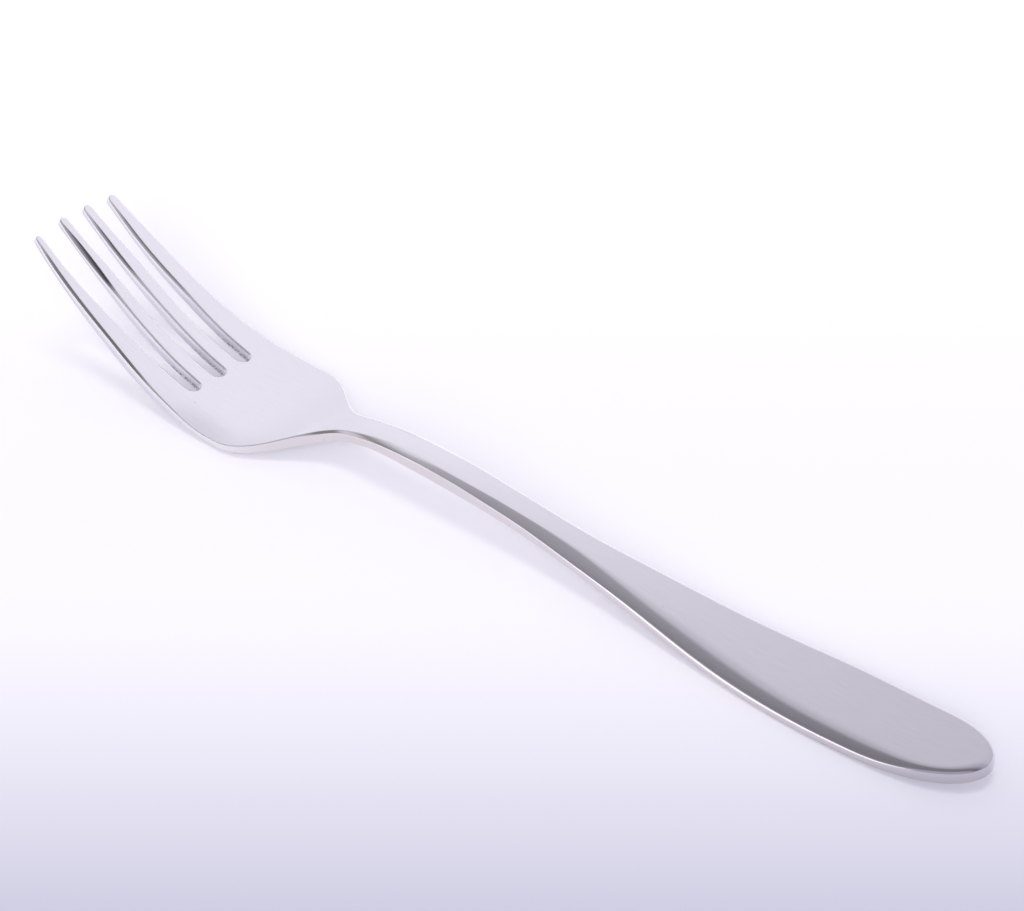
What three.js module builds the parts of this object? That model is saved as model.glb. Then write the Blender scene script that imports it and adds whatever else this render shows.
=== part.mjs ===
// Dessert fork pressed from one piece of steel: handle, neck, shoulders, dished head, four tines.
// Millimetres. X runs from the end of the handle to the tips, Z is up, the table is z = 0.
import * as THREE from 'three';
import { mergeVertices } from 'three/addons/utils/BufferGeometryUtils.js';

// Lengths along X, laid one after another from the end of the handle
const END_LENGTH = 24.7;        // rounded end, up to the widest place of the handle
const TAPER_LENGTH = 45.3;      // widest place to the waist, where the handle is still narrowing
const WAIST_LENGTH = 17.5;      // waist to the neck
const NECK_LENGTH = 32.1;       // narrow neck
const ARCH_LENGTH = 24.9;       // start of the neck to the top of the arch
const SHOULDER_LENGTH = 18.8;   // flare from the neck to the widest place of the head
const HEAD_LENGTH = 46.6;       // widest place of the head to the tips of the outer tines
const BEND_LENGTH = 25;         // widest place of the head to the middle of the tines
const TINE_LENGTH = 34.4;       // slot root to the tips of the outer tines
const REST_LENGTH = 7.5;        // flat patch of the back that lies on the table
const INNER_EXTRA = 0.3;        // inner tines reach this much further than the outer ones

// Widths
const HANDLE_WIDTH = 16.4;
const WAIST_WIDTH = 7.7;
const NECK_WIDTH = 5.3;
const HEAD_WIDTH = 25.5;
const BEND_WIDTH = 22.1;        // across the middle of the tines
const SLOT_WIDTH = 2.7;         // at the round root
const ROOT_PITCH = 5.75;        // slot to slot at the roots
const TIP_PITCH = 5.47;         // tine to tine at the tips
const TIP_WIDTH = 1.3;

// Heights of the back above the table, and how steep it is
const END_LIFT = 1.95;          // end of the handle
const WAIST_LIFT = 3.54;
const ARCH_LIFT = 6.13;         // top of the arch under the neck
const BEND_LIFT = 5.8;          // middle of the tines
const TIP_LIFT = 20.2;          // tips of the outer tines
const WAIST_RISE = 0.146;
const BEND_RISE = 0.51;
const TIP_RISE = 0.75;

// Thickness of the steel
const END_THICKNESS = 2.55;
const HANDLE_THICKNESS = 2.9;
const NECK_THICKNESS = 2.85;
const BOWL_THICKNESS = 2.1;
const TINE_THICKNESS = 2.3;     // middle of the tines
const TIP_THICKNESS = 1.45;

// Edges and surface shape
const HANDLE_ROLL = 3.1;        // width of the rolled top edge of the handle
const HANDLE_DROP = 1.9;        // its height
const NECK_ROLL = 1.4;
const NECK_DROP = 1.3;
const HEAD_ROLL = 0.5;          // width and height of the rolled top edge of the head
const TIP_ROLL = 0.35;
const BACK_EDGE = 0.4;          // radius round the back
const TIP_ROUND = 0.9;          // length of the rounded tip of a tine
const CROWN_RADIUS = 110;       // hump across the top of the handle
const DISH_RADIUS = 195;        // hollow across the head, fading out to the tips

// Fullness and slopes of the outline
const END_FULLNESS = 2.98;      // 2 is an ellipse, more is blunter
const WAIST_SLOPE = -0.082;     // half width lost per millimetre there
const BEND_SLOPE = -0.102;
const TIP_SLOPE = -0.205;

// How finely the surface is divided
const STRIPS = 4;               // one strip for each tine, carried down to the end of the handle
const STRIP_STEPS = 4;
const ROLL_STEPS = 3;
const EDGE_STEPS = 2;
const END_STEPS = 10;
const ROOT_STEPS = 4;
const TINE_STEPS = 8;
const TIP_STEPS = 3;

const X_WIDEST = END_LENGTH;
const X_REST = X_WIDEST + REST_LENGTH;
const X_WAIST = X_WIDEST + TAPER_LENGTH;
const X_NECK = X_WAIST + WAIST_LENGTH;
const X_ARCH = X_NECK + ARCH_LENGTH;
const X_SHOULDER = X_NECK + NECK_LENGTH;
const X_HEAD = X_SHOULDER + SHOULDER_LENGTH;
const X_BEND = X_HEAD + BEND_LENGTH;
const X_TIP = X_HEAD + HEAD_LENGTH;
const X_ROOT = X_TIP - TINE_LENGTH;
const ROOT_RADIUS = SLOT_WIDTH / 2;
const X_SLOT = X_ROOT + ROOT_RADIUS;   // where the round root has become the straight slot
const RIGHT_ANGLE = Math.PI / 2;

// Smooth curve through stations of [x, value, slope]
function curve(stations) {
  return (x) => {
    let i = 1;
    while (i < stations.length - 1 && x > stations[i][0]) i += 1;
    const [x0, v0, m0] = stations[i - 1];
    const [x1, v1, m1] = stations[i];
    const u = THREE.MathUtils.clamp((x - x0) / (x1 - x0), 0, 1);
    const ease = u * u * (3 - 2 * u);
    const bend = u * (1 - u) * (m0 * (1 - u) - m1 * u);
    return v0 + (v1 - v0) * ease + (x1 - x0) * bend;
  };
}

const slopeOf = (fn, x) => (fn(x + 0.05) - fn(x - 0.05)) / 0.1;

const tipHalf = 1.5 * TIP_PITCH + TIP_WIDTH / 2;
const halfWidth = curve([
  [X_WIDEST, HANDLE_WIDTH / 2, 0],
  [X_WAIST, WAIST_WIDTH / 2, WAIST_SLOPE],
  [X_NECK, NECK_WIDTH / 2, 0],
  [X_SHOULDER, NECK_WIDTH / 2, 0],
  [X_HEAD, HEAD_WIDTH / 2, 0],
  [X_BEND, BEND_WIDTH / 2, BEND_SLOPE],
  [X_TIP, tipHalf, TIP_SLOPE],
]);
const back = curve([
  [0, END_LIFT, -2 * END_LIFT / X_WIDEST],
  [X_WIDEST, 0, 0],
  [X_REST, 0, 0],
  [X_WAIST, WAIST_LIFT, WAIST_RISE],
  [X_ARCH, ARCH_LIFT, 0],
  [X_HEAD, 0, 0],
  [X_BEND, BEND_LIFT, BEND_RISE],
  [X_TIP, TIP_LIFT, TIP_RISE],
]);
const thickness = curve([
  [0, END_THICKNESS, 0],
  [X_WIDEST, HANDLE_THICKNESS, 0],
  [X_ARCH, NECK_THICKNESS, 0],
  [X_HEAD, BOWL_THICKNESS, 0],
  [X_BEND, TINE_THICKNESS, 0],
  [X_TIP, TIP_THICKNESS, 0],
]);
const edge = (atHandle, atNeck, atHead, atTip) => curve([
  [X_WIDEST, atHandle, 0],
  [X_ARCH, atNeck, 0],
  [X_HEAD, atHead, 0],
  [X_TIP, atTip, 0],
]);
const rollWidth = edge(HANDLE_ROLL, NECK_ROLL, HEAD_ROLL, TIP_ROLL);
const rollDrop = edge(HANDLE_DROP, NECK_DROP, HEAD_ROLL, TIP_ROLL);
const crown = edge(0.5 / CROWN_RADIUS, 0.5 / CROWN_RADIUS, 0, 0);
const dish = edge(0, 0, 0.5 / DISH_RADIUS, 0);

// The back runs on straight past the outer tips, for the longer inner tines
const backHeight = (x) => back(x) + Math.max(x - X_TIP, 0) * TIP_RISE;

// Point standing a height above the back, square to it
function place(x, y, height) {
  const rise = slopeOf(backHeight, x);
  const size = Math.hypot(1, rise);
  const z = backHeight(x) + dish(x) * y * y + height / size;
  return new THREE.Vector3(x - height * rise / size, y, z);
}

const topHeight = (x, y) => thickness(x) - crown(x) * y * y;

// Closed section through boundaries that give a plan point for an inset from the outline:
// along the top, down one rolled edge, back along the underside and up the other edge
function section(boundaries, x) {
  const roll = rollWidth(x);
  const drop = rollDrop(x);
  const points = [];
  const row = (inset, height) => {
    const marks = boundaries.map((boundary) => boundary(inset));
    const found = [];
    for (let s = 0; s < marks.length - 1; s += 1) {
      for (let j = s === 0 ? 0 : 1; j <= STRIP_STEPS; j += 1) {
        const mark = marks[s].clone().lerp(marks[s + 1], j / STRIP_STEPS);
        found.push(place(mark.x, mark.y, height(mark)));
      }
    }
    return found;
  };
  const wall = (boundary) => {
    const found = [];
    const shoulder = boundary(roll);
    for (let k = 1; k <= ROLL_STEPS; k += 1) {
      const turn = RIGHT_ANGLE * k / ROLL_STEPS;
      const mark = boundary(roll * (1 - Math.sin(turn)));
      const height = topHeight(x, shoulder.y) - drop * (1 - Math.cos(turn));
      found.push(place(mark.x, mark.y, height));
    }
    for (let k = 0; k < EDGE_STEPS; k += 1) {
      const turn = RIGHT_ANGLE * k / EDGE_STEPS;
      const mark = boundary(BACK_EDGE * (1 - Math.cos(turn)));
      found.push(place(mark.x, mark.y, BACK_EDGE * (1 - Math.sin(turn))));
    }
    return found;
  };
  const first = boundaries[0];
  const last = boundaries[boundaries.length - 1];
  points.push(...row(roll, (mark) => topHeight(x, mark.y)));
  points.push(...wall(last));
  points.push(...row(BACK_EDGE, () => 0).reverse());
  points.push(...wall(first).reverse());
  return points;
}

// Skin between one closed section and the next
function skin(triangles, sections) {
  for (let i = 0; i < sections.length - 1; i += 1) {
    const near = sections[i];
    const far = sections[i + 1];
    for (let j = 0; j < near.length; j += 1) {
      const k = (j + 1) % near.length;
      triangles.push(near[j], far[j], far[k], near[j], far[k], near[k]);
    }
  }
}

const plan = (x, y) => new THREE.Vector2(x, y);
const inset = (x, amount) => halfWidth(x) - amount * Math.hypot(1, slopeOf(halfWidth, x));
const pitch = (x) => {
  const along = THREE.MathUtils.clamp((x - X_SLOT) / (X_TIP - X_SLOT), 0, 1);
  return THREE.MathUtils.lerp(ROOT_PITCH, TIP_PITCH, along);
};
// A slot keeps its width near the root and near the tips, and opens in between
const slotHalf = curve([
  [X_SLOT, ROOT_RADIUS, 0],
  [X_TIP, (TIP_PITCH - TIP_WIDTH) / 2, 0],
]);
const slotLine = [-1, 0, 1];
const slotShare = ROOT_PITCH / halfWidth(X_ROOT);

// Body from the end of the handle to the slot roots
function bodySections() {
  const found = [];
  const across = (edgeAt, x) => {
    const shares = [-1, ...slotLine.map((line) => line * slotShare), 1];
    const boundaries = shares.map((share) => (amount) => {
      const mark = edgeAt(amount);
      return plan(mark.x, mark.y * share);
    });
    found.push(section(boundaries, x));
  };
  for (let i = 0; i < END_STEPS; i += 1) {
    const turn = RIGHT_ANGLE * i / END_STEPS;
    const reach = 1 - Math.cos(turn) ** (2 / END_FULLNESS);
    const edgeAt = (amount) => plan(
      amount + (X_WIDEST - amount) * reach,
      (HANDLE_WIDTH / 2 - amount) * Math.sin(turn),
    );
    across(edgeAt, X_WIDEST * reach);
  }
  const zones = [
    [X_WIDEST, X_REST, 2],
    [X_REST, X_NECK, 10],
    [X_NECK, X_SHOULDER, 9],
    [X_SHOULDER, X_HEAD, 12],
    [X_HEAD, X_ROOT, 5],
  ];
  for (const [from, to, steps] of zones) {
    for (let i = 0; i < steps; i += 1) {
      const x = THREE.MathUtils.lerp(from, to, i / steps);
      across((amount) => plan(x, inset(x, amount)), x);
    }
  }
  const rootMarks = slotLine.map((line) => (amount) => plan(X_ROOT - amount, line * ROOT_PITCH));
  const side = (sign) => (amount) => plan(X_ROOT, sign * inset(X_ROOT, amount));
  found.push(section([side(-1), ...rootMarks, side(1)], X_ROOT));
  return found;
}

// One tine from the slot roots to its tip
function tineSections(index) {
  const found = [];
  const isOuter = index === 0 || index === STRIPS - 1;
  const xEnd = X_TIP + (isOuter ? 0 : INNER_EXTRA);
  const xRound = xEnd - TIP_ROUND;
  // side -1 is the edge towards -Y, side 1 the edge towards +Y
  const isOutline = (side) => (side < 0 ? index === 0 : index === STRIPS - 1);
  const line = (side) => slotLine[side < 0 ? index - 1 : index];
  const edgeAt = (side, x, amount) => {
    if (isOutline(side)) return side * inset(x, amount);
    return line(side) * pitch(x) - side * (slotHalf(x) + amount);
  };
  for (let i = 0; i < ROOT_STEPS; i += 1) {
    const turn = RIGHT_ANGLE * i / ROOT_STEPS;
    const boundary = (side) => (amount) => {
      const x = X_SLOT - ROOT_RADIUS * Math.cos(turn);
      if (isOutline(side)) return plan(x, edgeAt(side, x, amount));
      const reach = ROOT_RADIUS + amount;
      return plan(
        X_SLOT - reach * Math.cos(turn),
        line(side) * ROOT_PITCH - side * reach * Math.sin(turn),
      );
    };
    found.push(section([boundary(-1), boundary(1)], X_SLOT - ROOT_RADIUS * Math.cos(turn)));
  }
  for (let i = 0; i < TINE_STEPS; i += 1) {
    const x = THREE.MathUtils.lerp(X_SLOT, xRound, i / TINE_STEPS);
    const boundary = (side) => (amount) => plan(x, edgeAt(side, x, amount));
    found.push(section([boundary(-1), boundary(1)], x));
  }
  for (let i = 0; i <= TIP_STEPS; i += 1) {
    const turn = RIGHT_ANGLE * i / TIP_STEPS;
    const boundary = (side) => (amount) => {
      const x = xRound + (TIP_ROUND - amount) * Math.sin(turn);
      const middle = (edgeAt(-1, xRound, 0) + edgeAt(1, xRound, 0)) / 2;
      const half = (edgeAt(1, xRound, 0) - edgeAt(-1, xRound, 0)) / 2 - amount;
      return plan(x, middle + side * half * Math.cos(turn));
    };
    found.push(section([boundary(-1), boundary(1)], xRound + TIP_ROUND * Math.sin(turn)));
  }
  return found;
}

// Gathers the skins into one closed body, dropping triangles that shrink to a line at the ends
function closedBody(triangles) {
  const loose = new THREE.BufferGeometry().setFromPoints(triangles);
  const joined = mergeVertices(loose, 1e-4);
  const kept = [];
  for (let i = 0; i < joined.index.count; i += 3) {
    const [a, b, c] = [0, 1, 2].map((k) => joined.index.getX(i + k));
    if (a !== b && b !== c && c !== a) kept.push(a, b, c);
  }
  joined.setIndex(kept);
  joined.computeVertexNormals();
  return joined;
}

const triangles = [];
skin(triangles, bodySections());
for (let index = 0; index < STRIPS; index += 1) {
  skin(triangles, tineSections(index));
}
const geometry = closedBody(triangles);
// The origin is on the table, under the middle of the fork
geometry.computeBoundingBox();
const { min, max } = geometry.boundingBox;
geometry.translate(-(min.x + max.x) / 2, 0, -min.z);

const polishedSteel = new THREE.MeshStandardMaterial({
  color: 0xc9c9cf,
  roughness: 0.18,
  metalness: 1,
});
const fork = new THREE.Mesh(geometry, polishedSteel);
fork.name = 'fork';

const dessertFork = new THREE.Group();
dessertFork.name = 'dessert_fork';
dessertFork.add(fork);

export default dessertFork;
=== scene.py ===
# %% [markdown]
# # A dessert fork, pressed from one piece of polished steel
#
# A fork like this starts as a flat blank. It is rolled thinner at the head, the slots are
# cut, a press bends the head, and wheels polish it until it mirrors the room. We rebuild it
# in that spirit: one smooth skin, one steel, and a pale table for it to mirror. The packed
# CAD model comes in first. It fixes the place and the size, and our own skin goes over it.

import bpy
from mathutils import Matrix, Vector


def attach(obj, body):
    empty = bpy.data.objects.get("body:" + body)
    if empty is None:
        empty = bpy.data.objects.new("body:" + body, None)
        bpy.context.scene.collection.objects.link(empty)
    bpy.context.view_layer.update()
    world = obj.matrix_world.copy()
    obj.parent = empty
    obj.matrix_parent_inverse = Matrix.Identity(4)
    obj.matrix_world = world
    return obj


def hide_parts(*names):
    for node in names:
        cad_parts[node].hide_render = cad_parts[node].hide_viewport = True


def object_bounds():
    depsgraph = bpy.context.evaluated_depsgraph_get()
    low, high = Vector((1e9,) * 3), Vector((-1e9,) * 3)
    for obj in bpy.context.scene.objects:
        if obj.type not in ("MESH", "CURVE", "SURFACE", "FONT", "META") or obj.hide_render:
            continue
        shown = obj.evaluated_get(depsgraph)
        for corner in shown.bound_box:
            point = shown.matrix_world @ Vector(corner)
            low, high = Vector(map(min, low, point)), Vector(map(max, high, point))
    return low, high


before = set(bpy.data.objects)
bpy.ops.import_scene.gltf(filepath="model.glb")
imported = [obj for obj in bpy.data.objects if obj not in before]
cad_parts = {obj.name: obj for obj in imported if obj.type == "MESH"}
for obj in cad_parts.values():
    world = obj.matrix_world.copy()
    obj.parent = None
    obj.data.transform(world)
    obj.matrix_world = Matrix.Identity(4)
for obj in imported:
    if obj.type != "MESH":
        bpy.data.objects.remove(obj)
cad_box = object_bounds()
print("CAD box in millimetres:", [[round(1000 * v, 1) for v in corner] for corner in cad_box])

# %% [markdown]
# ## The fork's own sizes
#
# Every size below is in millimetres, and places are counted from the end of the handle
# towards the tips. They are the lengths of the solid model, so that the skin lies where the
# solid lies. We keep them together at the top, because every later curve runs through them.

# %% Sizes along the fork
import math

import bmesh
import bpy
from mathutils import Matrix, Vector

MM = 0.001
TINES = 4
WIDEST = 24.7                  # where the handle is widest
REST_END = WIDEST + 7.5        # end of the flat patch that lies on the table
WAIST = WIDEST + 45.3          # half way down the taper
NECK = WAIST + 17.5            # where the slim neck starts
SLIM = NECK + 10               # slimmest part of the neck
ARCH = NECK + 24.9             # highest place of the neck
SHOULDER = NECK + 32.1         # where the neck flares out
HEAD = SHOULDER + 18.8         # where the head is widest
FLARE = HEAD - 12              # where the flare is well under way
BEND = HEAD + 25.0             # middle of the tines
TIP = HEAD + 46.6              # tips of the outer tines
ROOT = TIP - 34.4              # bottoms of the slots
INNER_EXTRA = 0.3              # the inner tines are a little longer
ROOT_RADIUS = 1.35             # roundness of a slot's bottom
SLOT = ROOT + ROOT_RADIUS      # where a slot's sides begin to run straight
ROOT_PITCH, TIP_PITCH = 5.75, 5.47
TIP_WIDTH = 1.3
TIP_ROUND = 0.9                # length of a tine's rounded tip
TIP_RISE = 0.75                # how steeply the tips rise
print("length to the outer tips:", round(TIP, 1), "mm")

# %% [markdown]
# ## Curves through a few stations
#
# A maker's drawing gives a width here, a height there, and says how steep the line is.
# A cubic that honours a value and a slope at each station turns that into a fair curve.
# A Bezier object could do the same, but a plain function is easier to ask for any place.
# The values keep within a millimetre of the solid's. They differ most at the neck and the
# shoulder, where they follow the way the real steel mirrors the room.


# %% A curve through stations
def through(*stations):
    """A smooth function through (place, value, slope) stations, level beyond its ends."""
    def at(x):
        i = 1
        while i < len(stations) - 1 and x > stations[i][0]:
            i += 1
        (x0, v0, m0), (x1, v1, m1) = stations[i - 1], stations[i]
        u = min(max((x - x0) / (x1 - x0), 0.0), 1.0)
        ease = u * u * (3 - 2 * u)
        bend = u * (1 - u) * (m0 * (1 - u) - m1 * u)
        return v0 + (v1 - v0) * ease + (x1 - x0) * bend
    return at


print("half way up a step from 0 to 1:", through((0, 0, 0), (1, 1, 0))(0.5))

# %% Outline, back and thickness
HALF_HANDLE = 8.2              # half the width of the handle at its widest
half_width = through(
    (WIDEST, HALF_HANDLE, 0), (WAIST, 4.05, -0.082), (NECK, 3.05, 0), (SHOULDER, 2.95, 0),
    (HEAD, 12.75, 0), (BEND, 11.05, -0.102),
    (TIP, (TINES - 1) / 2 * TIP_PITCH + TIP_WIDTH / 2, -0.205),
)
back = through(
    (0, 1.95, -3.9 / WIDEST), (WIDEST, 0, 0), (REST_END, 0, 0), (WAIST, 3.3, 0.12),
    (ARCH, 6.4, 0), (HEAD, 0, 0), (BEND, 5.8, 0.51), (TIP, 20.1, TIP_RISE),
)
thickness = through(
    (0, 2.55, 0), (WIDEST, 2.9, 0), (SLIM, 2.85, 0), (ARCH + 6, 2.1, 0), (HEAD, 2.1, 0),
    (BEND, 2.3, 0), (TIP, 1.45, 0),
)
slot_half = through((SLOT, ROOT_RADIUS, 0), (TIP, (TIP_PITCH - TIP_WIDTH) / 2, 0))
print("neck:", round(2 * half_width(NECK), 2), "mm wide, its back", round(back(ARCH), 1), "mm up")

# %% [markdown]
# ## Rolled edges, crown and dish
#
# Light tells us about edges first. The handle's top edge is rolled over broadly, and less at
# its end. Along the neck it becomes a flat bevel, round again only on the arch. At the
# shoulder and the head it is nearly sharp, and the tines have a narrow roll. The top is
# faintly humped along the handle and the neck, faintly hollow across the head, and polished
# a little lower in a strip along the near edge of the head. We could bevel a sharp model
# instead, but a bevel has one width, and here the width changes all along the fork.

# %% Edge sizes along the fork
BACK_EDGE = 0.4                # radius of the edge round the back
roll_width = through(          # width of the top edge, seen from above
    (5, 1.2, 0), (16, 2.6, 0), (WAIST - 25, 3.0, 0), (WAIST, 2.1, 0), (NECK, 1.25, 0),
    (SLIM, 1.0, 0), (ARCH - 2, 1.5, 0), (ARCH + 4, 0.75, 0), (FLARE - 3, 0.45, 0),
    (FLARE + 1, 0.15, 0), (HEAD + 6, 0.12, 0), (ROOT + 2, 0.3, 0), (TIP - 4, 0.35, 0), (TIP, 0.15, 0),
)
roll_drop = through(           # height that it falls over that width
    (5, 0.75, 0), (16, 1.65, 0), (WAIST - 25, 2.05, 0), (WAIST, 1.75, 0), (NECK, 1.2, 0),
    (SLIM, 0.8, 0), (ARCH - 2, 0.55, 0), (ARCH + 4, 0.6, 0), (FLARE - 3, 0.42, 0),
    (FLARE + 1, 0.15, 0), (HEAD + 6, 0.12, 0), (ROOT + 2, 0.3, 0), (TIP - 4, 0.35, 0), (TIP, 0.15, 0),
)
flat_edge = through(           # 1 where it is a flat bevel, 0 where it is round
    (WAIST - 15, 0, 0), (NECK - 5, 1, 0), (SLIM, 1, 0), (ARCH - 3, 0, 0), (ARCH + 4, 1, 0),
    (FLARE, 1, 0), (HEAD, 0, 0),
)
last_turn = through(           # degrees through which a round edge turns over
    (SLIM, 74, 0), (ARCH - 3, 50, 0), (HEAD, 50, 0), (ROOT, 74, 0),
)
print("top edge: handle", round(roll_width(WIDEST), 2), "mm, head", round(roll_width(HEAD), 2), "mm")

# %% Hump, hollow and the strip that is polished down
crown = through((WIDEST, 0.0045, 0), (NECK, 0.015, 0), (ARCH, 0.02, 0), (FLARE, 0, 0))
dish = through((ARCH, 0, 0), (HEAD - 10, 0.0026, 0), (TIP, 0, 0))
NEAR_STRIP = 5.0               # width of the strip along the near edge
near_loss = through(
    (HEAD - 13, 0, 0), (HEAD - 4, 0.55, 0), (HEAD + 5, 0.95, 0), (ROOT + 2, 0.2, 0), (ROOT + 10, 0, 0),
)


def top_height(x, y):
    """Height of the top above the back."""
    into_strip = max(1 + (y - half_width(x)) / NEAR_STRIP, 0.0)
    return thickness(x) - crown(x) * y * y - near_loss(x) * into_strip ** 2


print("head:", round(top_height(HEAD, 0), 2), "mm thick, near edge",
      round(top_height(HEAD, half_width(HEAD)), 2), "mm")

# %% From a place on the fork to a point in space
NUDGE = 0.05                   # a slope is taken over this much to each side


def slope_of(fn, x):
    return (fn(x + NUDGE) - fn(x - NUDGE)) / (2 * NUDGE)


def back_height(x):
    return back(x) + max(x - TIP, 0) * TIP_RISE


def place(x, y, height):
    """A point standing a height above the back, square to it, in millimetres."""
    rise = slope_of(back_height, x)
    size = math.hypot(1, rise)
    z = back_height(x) + dish(x) * y * y + height / size
    return Vector((x - height * rise / size, y, z))


def inset(x, amount):
    """Half the width, moved in from the outline by an amount measured square to it."""
    return half_width(x) - amount * math.hypot(1, slope_of(half_width, x))


print("top of the arch:", [round(v, 2) for v in place(ARCH, 0, thickness(ARCH))])

# %% [markdown]
# ## Sections, as a boat builder draws them
#
# We cut the fork across at many stations and join the cuts with four-sided faces. The body
# carries four strips, and at the slot roots each strip runs on alone as a tine, so the slots
# open out of the skin itself and no cutting is needed. Four-sided faces in long even rows
# are what a subdivision surface likes best, and a polished thing shows every uneven one.
# Every point also carries two flags for the steel: how much it belongs to a rough slot wall,
# whose foot gets painted shade near the roots, and how brightly the wheel has polished it,
# which also lays painted shade on the walls along the handle and the neck.

# %% One wall of a section, from the top edge down to the back
BEVEL = ((0.86, 0.05), (0.44, 0.42), (0.10, 0.78), (0.0, 1.0))   # width left and height lost
ROLL_STEPS, EDGE_STEPS = len(BEVEL), 2
RIGHT_ANGLE = math.pi / 2
WEAR_DROP = 0.65               # a worn edge falls by this share of its extra width
FLAT_WEAR = 0.4                # extra width at which a worn edge is quite flat
WEAR_SHINE, MOST_SHINE = 3, 0.9    # polish of a worn edge for its extra width, and its limit
SLOT_SHINE = 0.95              # polish of the line along the top of a slot wall
edge_line = through((SLIM, 0, 0), (ARCH + 4, 0.55, 0), (FLARE - 2, 0.55, 0), (FLARE + 1, 0, 0))
# The shine of the top edge and of the foot also lays the edge colour, which carries painted shade
# towards the handle.
top_shine = through((WAIST, 0.5, 0), (SLIM, 0.6, 0), (HEAD + 6, 0.75, 0))
foot_shine = through((WAIST, 0.75, 0), (SLIM, 0.75, 0), (HEAD + 4, 0.7, 0), (ROOT + 4, 0.1, 0))


def mix(first, second, share):
    return first + (second - first) * share


def wall(x, edge, in_slot, wear, near_side):
    """Points down one wall with their flags. The near walls are the brightly polished ones."""
    # The polish flags of the walls also lay their painted shade along the handle and the neck.
    roll, drop = roll_width(x) + wear, roll_drop(x) + WEAR_DROP * wear
    flat = max(flat_edge(x), min(wear / FLAT_WEAR, 1.0))
    end = math.radians(last_turn(x))
    top = top_height(x, edge(roll).y)
    found = []
    for k, (left, lost) in enumerate(BEVEL, 1):
        turn = end * k / ROLL_STEPS
        mark = edge(roll * mix(1 - math.sin(turn) / math.sin(end), left, flat))
        fall = drop * mix((1 - math.cos(turn)) / (1 - math.cos(end)), lost, flat)
        if k == ROLL_STEPS:
            shine = max(near_side * top_shine(x), SLOT_SHINE * in_slot)
        else:
            shine = max(edge_line(x), min(WEAR_SHINE * wear, MOST_SHINE))
        found.append((place(mark.x, mark.y, top - fall), (0.0, shine)))
    for k in range(EDGE_STEPS):
        turn = RIGHT_ANGLE * k / EDGE_STEPS
        mark = edge(BACK_EDGE * (1 - math.cos(turn)))
        height = BACK_EDGE * (1 - math.sin(turn))
        flags = (in_slot, near_side * foot_shine(x) * (1 - in_slot))
        found.append((place(mark.x, mark.y, height), flags))
    return found


print("points down a wall:", ROLL_STEPS + EDGE_STEPS)

# %% One closed section
STRIP_STEPS = 4


def row(boundaries, insets, height):
    """Points across the strips, at a height above the back."""
    marks = [edge(amount) for (edge, _, _), amount in zip(boundaries, insets)]
    found = []
    for s in range(len(marks) - 1):
        for j in range(0 if s == 0 else 1, STRIP_STEPS + 1):
            mark = marks[s].lerp(marks[s + 1], j / STRIP_STEPS)
            found.append((place(mark.x, mark.y, height(mark)), (0.0, 0.0)))
    return found


def section(boundaries, x):
    """Points round a cut: along the top, down the near wall, along the back, up the far wall.

    The boundaries of the strips go from the far side to the near one. Each is a function that
    gives a plan point for an inset, a flag that is 1 on the wall of a slot, where the steel is
    rougher and its foot is painted dark as shade, and how much wider than usual its top edge
    is worn.
    """
    rolls = [roll_width(x) + wear for _, _, wear in boundaries]
    over = row(boundaries, rolls, lambda mark: top_height(x, mark.y))
    under = row(boundaries, [BACK_EDGE] * len(boundaries), lambda mark: 0.0)
    near, far = wall(x, *boundaries[-1], 1.0), wall(x, *boundaries[0], 0.0)
    return over + near + under[::-1] + far[::-1]


print("points in a body section:", 2 * (TINES * STRIP_STEPS + 1 + ROLL_STEPS + EDGE_STEPS))


# %% Sections of the body, from the end of the handle to the slot roots
def plan(x, y):
    return Vector((x, y))


def steps(start, end, count):
    return [start + (end - start) * i / count for i in range(count)]


SLOT_LINES = (-1, 0, 1)        # middles of the slots, in pitches from the middle of the fork
END_STEPS = 10
END_FULLNESS = 2.98            # 2 would make the handle's end an ellipse, more makes it fuller
STRETCHES = (                  # from, to and number of sections
    (WIDEST, REST_END, 3), (REST_END, NECK, 12), (NECK, SHOULDER, 10), (SHOULDER, HEAD, 12),
    (HEAD, ROOT, 6),
)


def body_sections():
    shares = [-1] + [line * ROOT_PITCH / half_width(ROOT) for line in SLOT_LINES] + [1]
    found = []

    def across(edge, x):
        boundaries = []
        for share in shares:
            boundaries.append((lambda a, s=share: plan(edge(a).x, edge(a).y * s), 0.0, 0.0))
        found.append(section(boundaries, x))

    for i in range(END_STEPS):
        turn = RIGHT_ANGLE * i / END_STEPS
        reach = 1 - math.cos(turn) ** (2 / END_FULLNESS)
        out = math.sin(turn)
        across(lambda a: plan(a + (WIDEST - a) * reach, (HALF_HANDLE - a) * out), WIDEST * reach)
    for stretch in STRETCHES:
        for x in steps(*stretch):
            across(lambda a: plan(x, inset(x, a)), x)
    ends = [(lambda a, s=s: plan(ROOT, s * inset(ROOT, a)), 0.0, 0.0) for s in (-1, 1)]
    roots = [(lambda a, n=n: plan(ROOT - a, n * ROOT_PITCH), 1.0, 0.0) for n in SLOT_LINES]
    found.append(section([ends[0]] + roots + [ends[1]], ROOT))
    return found


body = body_sections()
print("body sections:", len(body))

# %% [markdown]
# ## Four tines, none quite like the next
#
# Each tine takes over its strip at the slot roots and tapers to a rounded tip. On a used fork
# no two tines match: the wheel took more off one near edge than off another, one tine is
# wider than its neighbour, one tip is bent down a little. A few small numbers for each tine
# say so. One tine copied three times would be less work, but four equal reflections look
# false at once. At the very tip the wear runs out, so that both sides meet and the skin closes.

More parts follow.
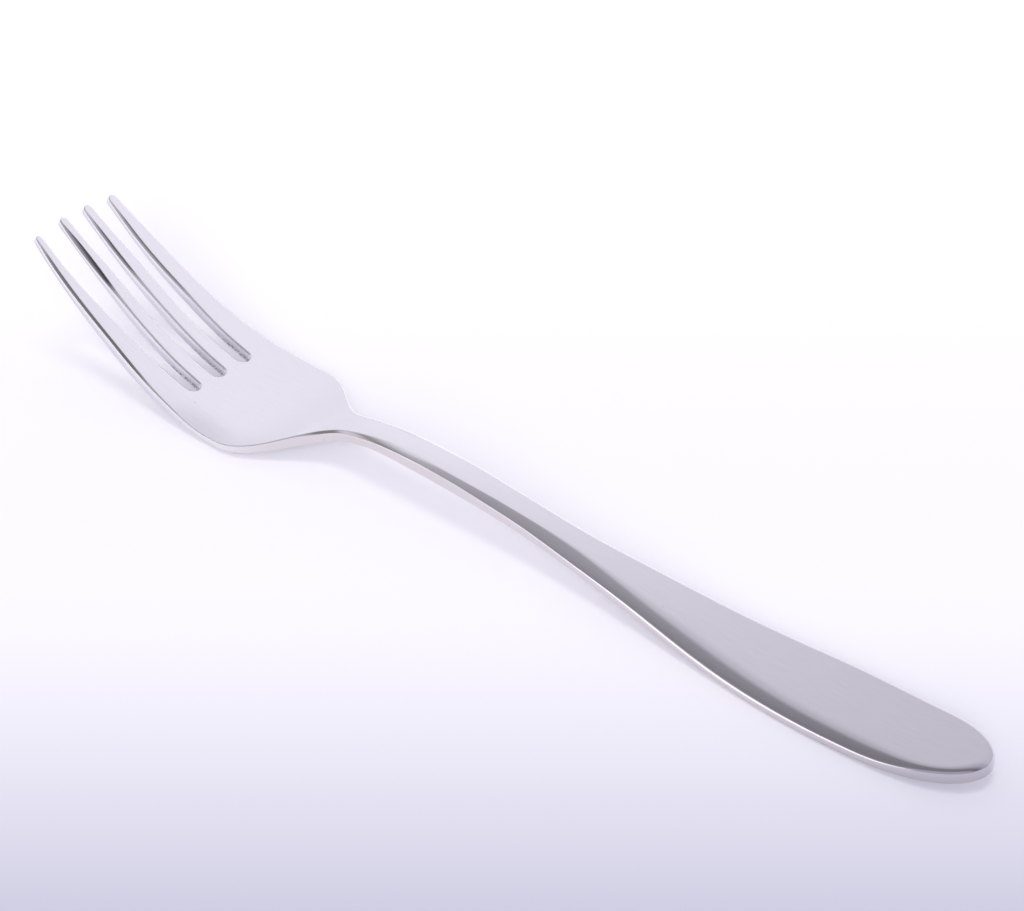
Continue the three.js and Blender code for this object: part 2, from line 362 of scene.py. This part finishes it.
# %% Sizes and sides of a tine
WEAR = (0.22, 0.26, 0.48, 0.22)        # how much wider the near edge is worn, from far to near tine
WORN_FROM = (0.30, 0.48, 0.52, 0.0)    # where along the tine that begins
EXTRA_WIDTH = ((0.0, 0.6), (0.7, 0.3), (0.8, 0.0), (-0.3, 0.0))   # on its far and its near side
DROOP = (0.0, 0.0, 0.0, 0.6)           # how far the tip is bent down
SIDES = (-1, 1)                        # far and near
swell = through((0.3, 0, 0), (0.75, 1, 0), (1, 0.45, 0))          # where the extra width comes in
# ground_part also marks where the feet of the slot walls are painted dark as shade.
ground_part = through((0, 1, 0), (0.45, 0, 0))                    # slot walls are rough near the roots


def along_tine(x):
    """0 where the slots begin to run straight, 1 at the outer tips."""
    return min(max((x - SLOT) / (TIP - SLOT), 0.0), 1.0)


def on_outline(index, side):
    """Whether this side of the tine is the outside of the head and not a slot."""
    return index == (0 if side < 0 else TINES - 1)


def slot_line(index, side):
    return SLOT_LINES[index - 1 if side < 0 else index]


def tine_side(index, side, x, amount):
    """Where a side of the tine runs, moved in by an amount."""
    if on_outline(index, side):
        return side * inset(x, amount)
    pitch = mix(ROOT_PITCH, TIP_PITCH, along_tine(x))
    extra = EXTRA_WIDTH[index][SIDES.index(side)] * swell(along_tine(x))
    return slot_line(index, side) * pitch - side * (slot_half(x) + amount - extra)


for index in range(TINES):
    far_side, near_side = [tine_side(index, side, BEND, 0) for side in SIDES]
    print("tine", index, "is", round(near_side - far_side, 2), "mm wide in the middle")


# %% One section of a tine
def tine_cut(index, edge, x, wear_left=1.0):
    """A section of the tine with its wear, let down by its droop."""
    start, share = WORN_FROM[index], along_tine(x)
    worn_part = through((start, 0, 0), (start + 0.25, 1, 0), (0.85, 1, 0), (1, 0.4, 0))
    wear = (0.0, wear_left * WEAR[index] * worn_part(share))
    boundaries = []
    for side, worn in zip(SIDES, wear):
        in_slot = 0.0 if on_outline(index, side) else ground_part(share)
        boundaries.append((lambda a, s=side: edge(s, a), in_slot, worn))
    fall = Vector((0, 0, DROOP[index] * share ** 2))
    return [(point - fall, flags) for point, flags in section(boundaries, x)]


print("points in a tine section:", 2 * (STRIP_STEPS + 1 + ROLL_STEPS + EDGE_STEPS))

# %% All sections of the tines, from the slot roots to the rounded tips
ROOT_STEPS, TINE_STEPS, TIP_STEPS = 4, 10, 3


def tine_sections(index):
    found = []
    for i in range(ROOT_STEPS):
        turn = RIGHT_ANGLE * i / ROOT_STEPS
        x = SLOT - ROOT_RADIUS * math.cos(turn)

        def root_edge(side, amount):
            if on_outline(index, side):
                return plan(x, tine_side(index, side, x, amount))
            reach = ROOT_RADIUS + amount
            y = slot_line(index, side) * ROOT_PITCH - side * reach * math.sin(turn)
            return plan(SLOT - reach * math.cos(turn), y)

        found.append(tine_cut(index, root_edge, x))
    outer = index in (0, TINES - 1)
    round_start = TIP + (0 if outer else INNER_EXTRA) - TIP_ROUND
    for x in steps(SLOT, round_start, TINE_STEPS):
        found.append(tine_cut(index, lambda s, a: plan(x, tine_side(index, s, x, a)), x))
    low, high = [tine_side(index, side, round_start, 0) for side in SIDES]
    for i in range(TIP_STEPS + 1):
        turn = RIGHT_ANGLE * i / TIP_STEPS

        def tip_edge(side, amount):
            half = (high - low) / 2 - amount
            x = round_start + (TIP_ROUND - amount) * math.sin(turn)
            return plan(x, (low + high) / 2 + side * half * math.cos(turn))

        x = round_start + TIP_ROUND * math.sin(turn)
        found.append(tine_cut(index, tip_edge, x, 1 - i / TIP_STEPS))
    return found


tines = [tine_sections(index) for index in range(TINES)]
print("tine sections:", [len(tine) for tine in tines])

# %% [markdown]
# ## One skin over all the sections
#
# Neighbouring sections are joined face by face. Points that fall together become one vertex:
# that closes the rounded ends, and it sews each tine to the body at the slot roots. The two
# flags go along as vertex attributes. A Subdivision Surface modifier then rounds the cage,
# and smooth shading lets the highlights run through without a break. Sculpting would reach
# such a form too, but not with edges that run true over the whole length.


# %% Join the sections
def skin(sections_list):
    mesh = bmesh.new()
    layers = [mesh.verts.layers.float.new(name) for name in ("slot_wall", "edge_shine_and_shade")]
    places = [point.x for sections in sections_list for cut in sections for point, _ in cut]
    middle = (cad_box[0][0] + cad_box[1][0]) / 2
    shift = Vector((middle - MM * (min(places) + max(places)) / 2, 0, 0))
    known = {}

    def vertex(point, flags):
        key = tuple(round(v, 3) for v in point)
        if key not in known:
            known[key] = mesh.verts.new(shift + point * MM)
        for layer, value in zip(layers, flags):
            known[key][layer] = max(known[key][layer], value)
        return known[key]

    for sections in sections_list:
        for here, ahead in zip(sections, sections[1:]):
            for j in range(len(here)):
                k = (j + 1) % len(here)
                corners = []
                for point, flags in (here[j], ahead[j], ahead[k], here[k]):
                    corner = vertex(point, flags)
                    if corner not in corners:
                        corners.append(corner)
                if len(corners) > 2:
                    mesh.faces.new(corners).smooth = True
    bmesh.ops.recalc_face_normals(mesh, faces=mesh.faces)
    return mesh


cage = skin([body] + tines)
open_edges = [edge for edge in cage.edges if not edge.is_manifold]
print("cage:", len(cage.verts), "vertices,", len(cage.faces), "faces,", len(open_edges), "open edges")

# %% Make the fork
fork_mesh = bpy.data.meshes.new("dessert_fork")
cage.to_mesh(fork_mesh)
cage.free()
dessert_fork = bpy.data.objects.new("dessert_fork", fork_mesh)
bpy.context.scene.collection.objects.link(dessert_fork)
rounding = dessert_fork.modifiers.new("rounding", "SUBSURF")
rounding.levels = 2
rounding.render_levels = 2
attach(dessert_fork, "root")
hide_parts("fork")
print("fork made of", len(fork_mesh.polygons), "cage faces")

# %% [markdown]
# ## Writing shader maths as Python
#
# A material is a graph of nodes, and graphs are slow to read. This small class stands for one
# output in the graph. Adding or multiplying two of them adds the Math node that does it, so
# that a mask reads as an ordinary formula. All other nodes come from its one method, node().


# %% A wire of the node graph
class Wire:
    """One output of a node graph, with Python's own operators."""

    def __init__(self, tree, socket=None):
        self.tree = tree
        self.socket = socket

    def node(self, kind, settings=None, sockets=None, output=0):
        """Adds a node: its settings first, then the values or links of its sockets."""
        made = self.tree.nodes.new(kind)
        for name, setting in (settings or {}).items():
            setattr(made, name, setting)
        for name, value in (sockets or {}).items():
            if isinstance(value, Wire):
                self.tree.links.new(value.socket, made.inputs[name])
            else:
                made.inputs[name].default_value = value
        return Wire(self.tree, made.outputs[output] if len(made.outputs) else None)

    def maths(self, operation, first, second):
        return self.node("ShaderNodeMath", {"operation": operation}, {0: first, 1: second})

    def __add__(self, other):
        return self.maths("ADD", self, other)

    def __radd__(self, other):
        return self.maths("ADD", other, self)

    def __sub__(self, other):
        return self.maths("SUBTRACT", self, other)

    def __rsub__(self, other):
        return self.maths("SUBTRACT", other, self)

    def __mul__(self, other):
        return self.maths("MULTIPLY", self, other)

    def __rmul__(self, other):
        return self.maths("MULTIPLY", other, self)

    def ramp(self, low, high):
        """Eases from 0 to 1 while this value goes from low to high."""
        return self.node(
            "ShaderNodeMapRange", {"interpolation_type": "SMOOTHSTEP"},
            {"Value": self, "From Min": low, "From Max": high},
        )

    def tint(self, first, second):
        """A colour that goes from the first to the second as this value goes from 0 to 1."""
        return self.node(
            "ShaderNodeMix", {"data_type": "RGBA"}, {0: self, 6: first, 7: second}, output=2,
        )

    def stretched(self, sizes):
        """This vector, multiplied part by part."""
        return self.node("ShaderNodeVectorMath", {"operation": "MULTIPLY"}, {0: self, 1: sizes})

    def towards(self, direction):
        """How far this vector points along a direction."""
        settings = {"operation": "DOT_PRODUCT"}
        return self.node("ShaderNodeVectorMath", settings, {0: self, 1: direction}, output="Value")


def graph(owner):
    owner.use_nodes = True
    owner.node_tree.nodes.clear()
    return Wire(owner.node_tree)


print("shader maths ready:", Wire.__doc__)

# %% [markdown]
# ## Polished steel
#
# Bright steel has hardly a colour of its own: it shows the room. What makes it steel and not
# a mirror is the trace of the polishing wheel. Fine lines along the fork blur the room and
# scatter a little light, so we set the satin parts somewhat below fully metallic. The near
# walls and the worn edges are polished brighter. Their colour also carries painted shade:
# darker and warmer at the handle's end, darker along the neck and the shoulder, pale over
# the head, for the shadowed table that these walls mirror. No wheel reaches the slot walls
# at their roots, so they keep a rough ground finish, and there their feet are painted dark
# in speckles, as painted shade of the slot bottoms. All of it is noise and flags in the
# fork's own coordinates. A painted image would do the same, but it would have to be painted
# again after every change of shape.

# %% Where the steel is rough, where it is bright, and where shade is painted
steel = bpy.data.materials.new("polished_steel")
art = graph(steel)
spot = art.node("ShaderNodeTexCoord", output="Object")
slot_wall = art.node("ShaderNodeAttribute", {"attribute_name": "slot_wall"}, output="Fac")
edge_shine_and_shade = art.node("ShaderNodeAttribute", {"attribute_name": "edge_shine_and_shade"}, output="Fac")
rough_part = slot_wall.ramp(0.35, 0.75)
# This mask also lays the painted shade of the walls, set in the colours below.
polish_and_wall_shade = edge_shine_and_shade.ramp(0.2, 0.9) * (1 - rough_part)


def grain(sizes, detail=2.0):
    """Noise with a grain of these sizes, given as cells per metre along X, Y and Z."""
    return art.node(
        "ShaderNodeTexNoise", {}, {"Vector": spot.stretched(sizes), "Scale": 1.0, "Detail": detail},
    )


polish_lines = grain((220, 7000, 0))
soft_patches = grain((90, 160, 160))
speckle = grain((3600, 3600, 3600), 3.0)
# Painted shade: dark speckles at the foot of the slot walls near the roots, for the shade at the
# bottom of the slots.
slot_foot_painted_shade = rough_part * speckle.ramp(0.44, 0.60)
PIT_CELLS = (260, 260, 260)    # cells per metre, each with one pit
from_pit = art.node("ShaderNodeTexVoronoi", {}, {"Vector": spot.stretched(PIT_CELLS), "Scale": 1.0})
pit = 1 - from_pit.ramp(0.012, 0.03)
print("masks use", len(steel.node_tree.nodes), "nodes")

# %% Colours of the steel
# Where the painted shade of the polished walls changes along the fork.
ON_HANDLE, ON_NECK, ON_HEAD = (-0.088, -0.060), (-0.035, -0.005), (0.036, 0.048)   # metres along X
satin_steel = polish_lines.ramp(0.3, 0.7).tint((0.73, 0.71, 0.775, 1), (0.757, 0.737, 0.803, 1))
along = spot.towards((1, 0, 0))
# Painted shade on the polished walls: dark and warm at the handle's end, darker along the neck and the
# shoulder, pale over the head, for the shadowed table they mirror.
handle_wall_painted_shade = along.ramp(*ON_HANDLE).tint((0.56, 0.53, 0.53, 1), (0.68, 0.625, 0.60, 1))
neck_wall_painted_shade = along.ramp(*ON_NECK).tint(handle_wall_painted_shade, (0.72, 0.685, 0.68, 1))
edge_colour_with_painted_shade = along.ramp(*ON_HEAD).tint(neck_wall_painted_shade, (0.86, 0.855, 0.865, 1))
polished_and_shaded_steel = polish_and_wall_shade.tint(satin_steel, edge_colour_with_painted_shade)
# The speckles at the slot roots darken the colour as painted shade.
steel_with_slot_shade = slot_foot_painted_shade.tint(polished_and_shaded_steel, (0.24, 0.23, 0.25, 1))
steel_colour = pit.tint(steel_with_slot_shade, (0.30, 0.29, 0.30, 1))
print("colours bring it to", len(steel.node_tree.nodes), "nodes")

# %% Put the steel together
metallic = 0.78 + 0.22 * polish_and_wall_shade
relief = rough_part * speckle
roughness = 0.08 + 0.05 * polish_lines + 0.05 * soft_patches + 0.16 * relief
bumped = art.node(
    "ShaderNodeBump", {}, {"Height": relief, "Strength": 0.10, "Distance": 0.00006}, output="Normal",
)
shader = art.node(
    "ShaderNodeBsdfPrincipled", {},
    {"Base Color": steel_colour, "Metallic": metallic, "Roughness": roughness, "Normal": bumped},
)
art.node("ShaderNodeOutputMaterial", {}, {"Surface": shader})
fork_mesh.materials.append(steel)
print("steel uses", len(steel.node_tree.nodes), "nodes")

# %% [markdown]
# ## Where we stand
#
# The camera looks down on the near side of the handle with a long lens, so that the fork
# keeps its proportions. We could drag a camera into place by hand. Instead we give the angles
# a photographer would read off and build its axes from them, because an angle can be put
# right by a tenth of a degree. The image is 1024 pixels wide and 911 high.

# %% Camera
AZIMUTH, ELEVATION = math.radians(220.776), math.radians(35.025)
TARGET = Vector((9.70, -17.28, 0.0)) * MM
DISTANCE = 0.4813
FOCAL_PIXELS, IMAGE_WIDTH = 3000.0, 1024
SENSOR = 36.0
level_part = math.cos(ELEVATION)
to_camera = Vector((
    math.sin(AZIMUTH) * level_part, -math.cos(AZIMUTH) * level_part, math.sin(ELEVATION),
))
image_right = Vector((math.cos(AZIMUTH), math.sin(AZIMUTH), 0))
image_up = to_camera.cross(image_right)
lens = bpy.data.cameras.new("camera")
lens.sensor_width = SENSOR
lens.lens = SENSOR * FOCAL_PIXELS / IMAGE_WIDTH
lens.clip_start, lens.clip_end = 0.01, 20
camera = bpy.data.objects.new("camera", lens)
axes = Matrix((image_right, image_up, to_camera)).transposed().to_4x4()
camera.matrix_world = Matrix.Translation(TARGET + DISTANCE * to_camera) @ axes
bpy.context.scene.collection.objects.link(camera)
bpy.context.scene.camera = camera
print("lens:", round(lens.lens, 1), "mm, camera", round(DISTANCE, 3), "m away")

# %% [markdown]
# ## The table
#
# The fork lies on a white sheet that turns lavender grey towards us, where the light gives
# out. So the sheet's colour changes along one direction only, away from the camera. Lamps
# that fade would do the same, but a colour is easier to set. To the rays by which the camera
# and the steel see it, the sheet also glows faintly, most at the far side. That keeps it pale
# without more light on the fork, and the fork's shadow stays.

# %% Table
TABLE_REACH, TABLE_CELLS = 3.0, 8
table_mesh = bpy.data.meshes.new("table")
table_shape = bmesh.new()
bmesh.ops.create_grid(table_shape, x_segments=TABLE_CELLS, y_segments=TABLE_CELLS, size=TABLE_REACH)
table_shape.to_mesh(table_mesh)
table_shape.free()
table = bpy.data.objects.new("table", table_mesh)
bpy.context.scene.collection.objects.link(table)
print("table reaches", TABLE_REACH, "m from the fork")


# %% The sheet on it
def seeing_rays(art):
    """1 for the rays by which the camera and the steel see a thing, 0 for soft light."""
    names = ("Is Camera Ray", "Is Glossy Ray", "Is Transmission Ray")
    straight, mirrored, passing = [art.node("ShaderNodeLightPath", output=name) for name in names]
    return straight + mirrored + passing


away = Vector((-to_camera.x, -to_camera.y, 0)).normalized()
sheet = bpy.data.materials.new("white_sheet")
art = graph(sheet)
depth = art.node("ShaderNodeTexCoord", output="Object").towards(tuple(away))
sheet_colour = depth.ramp(-0.14, -0.012).tint((0.32, 0.32, 0.48, 1), (0.99, 0.985, 1.0, 1))
glow_colour = depth.ramp(0.0, 0.12).tint((0.13, 0.13, 0.14, 1), (0.19, 0.20, 0.19, 1))
matt = {"Base Color": sheet_colour, "Roughness": 1.0, "Specular IOR Level": 0.0}
glow = {"Emission Color": glow_colour, "Emission Strength": 1.0}
plain_sheet = art.node("ShaderNodeBsdfPrincipled", {}, matt)
seen_sheet = art.node("ShaderNodeBsdfPrincipled", {}, {**matt, **glow})
shader = art.node("ShaderNodeMixShader", {}, {0: seeing_rays(art), 1: plain_sheet, 2: seen_sheet})
art.node("ShaderNodeOutputMaterial", {}, {"Surface": shader})
table_mesh.materials.append(sheet)
print("the sheet turns white along", [round(v, 2) for v in away])

# %% [markdown]
# ## What the steel mirrors
#
# A polished fork mirrors its surroundings, so its light is mostly a matter of what stands
# round it. Here that is a white wall behind and to the right, a dark room above and on our
# side, a paler corner behind the camera and another on the left, and a bright strip low on
# the left that draws the fine line along the near walls. The world holds this picture for
# the rays that see. An image of a real room would do too, but a few soft masks are easier to
# move about. For soft light the world is a plain pale lavender.

# %% Surroundings
UP = Vector((0, 0, 1))
world = bpy.data.worlds.new("studio")
bpy.context.scene.world = world
art = graph(world)
ray = art.node("ShaderNodeTexCoord", output="Generated")
facing = ray.towards(tuple(away)) + 0.8 * ray.towards(tuple(image_right))
white_wall = 0.65 * facing.ramp(-0.27, 0.33) + 0.35 * facing.ramp(0.33, 0.85)
our_corner = -0.95 * away - 0.25 * image_right + 0.1 * UP
pale_ours = ray.towards(tuple(our_corner.normalized())).ramp(0.62, 0.85)
left_corner = 0.39 * away - 0.89 * image_right + 0.27 * UP
pale_left = ray.towards(tuple(left_corner.normalized())).ramp(0.90, 0.98)
left_side = ray.towards(tuple(-0.30 * away - 0.95 * image_right))
low_strip = (1 - ray.towards(tuple(UP)).ramp(0.05, 0.25)) * left_side.ramp(0.84, 1.0)
level = 0.06 + 0.52 * white_wall + 0.34 * pale_ours + 0.7 * pale_left
cool_light = level.tint((0, 0, 0, 1), (0.99, 0.965, 1.05, 1))
studio_colour = low_strip.tint(cool_light, (2.3, 2.22, 2.1, 1))
soft_light = art.node("ShaderNodeBackground", {}, {"Color": (0.93, 0.89, 1.02, 1), "Strength": 0.60})
picture = art.node("ShaderNodeBackground", {}, {"Color": studio_colour, "Strength": 1.0})
studio = art.node("ShaderNodeMixShader", {}, {0: seeing_rays(art), 1: soft_light, 2: picture})
art.node("ShaderNodeOutputWorld", {}, {"Surface": studio})
print("world uses", len(world.node_tree.nodes), "nodes")

# %% [markdown]
# ## Three lamps
#
# The soft light of the world comes from everywhere, so three lamps give it some direction.
# One shines straight down, a broad one from our side lights the table alone, and a small one
# over the head lights the fork alone. The steel doesn't mirror them, because it has its
# picture already. A photographer would keep a lamp off a piece with a black card. In Blender
# light linking does that, with a collection of what a lamp may light.


# %% Lamps
def lamp(name, kind, power, stands, aim):
    """A lamp that stands at one place and points at another, not mirrored by the steel."""
    data = bpy.data.lights.new(name, kind)
    data.energy = power
    made = bpy.data.objects.new(name, data)
    turn = (stands - aim).to_track_quat("Z", "Y").to_matrix().to_4x4()
    made.matrix_world = Matrix.Translation(stands) @ turn
    made.visible_glossy = False
    data.cycles.use_multiple_importance_sampling = False
    bpy.context.scene.collection.objects.link(made)
    print(name, "stands", round(stands.length, 2), "m from the middle of the fork")
    return made


def light_only(light, piece):
    """Lets a lamp light one piece and nothing else."""
    group = bpy.data.collections.new("lit_by_" + light.name)
    group.objects.link(piece)
    light.light_linking.receiver_collection = group


middle = Vector((0, 0, 0))
over_lamp = lamp("over_lamp", "SUN", 0.45, 0.5 * UP, middle)
over_lamp.data.angle = math.radians(22)
front_lamp = lamp("front_lamp", "SUN", 1.12, -0.88 * away + 0.47 * UP, middle)
front_lamp.data.angle = math.radians(32)
light_only(front_lamp, table)
head_lamp = lamp("head_lamp", "AREA", 0.30, Vector((0.04, -0.03, 0.17)), Vector((0.06, 0, 0)))
head_lamp.data.size = 0.10
head_lamp.data.spread = math.radians(110)
light_only(head_lamp, dessert_fork)

# %% [markdown]
# ## Colours as written
#
# The Standard view shows colours as they are written. A film-like view would soften the
# brightest places, but it would also shift every colour we chose.

# %% View
bpy.context.scene.view_settings.view_transform = "Standard"
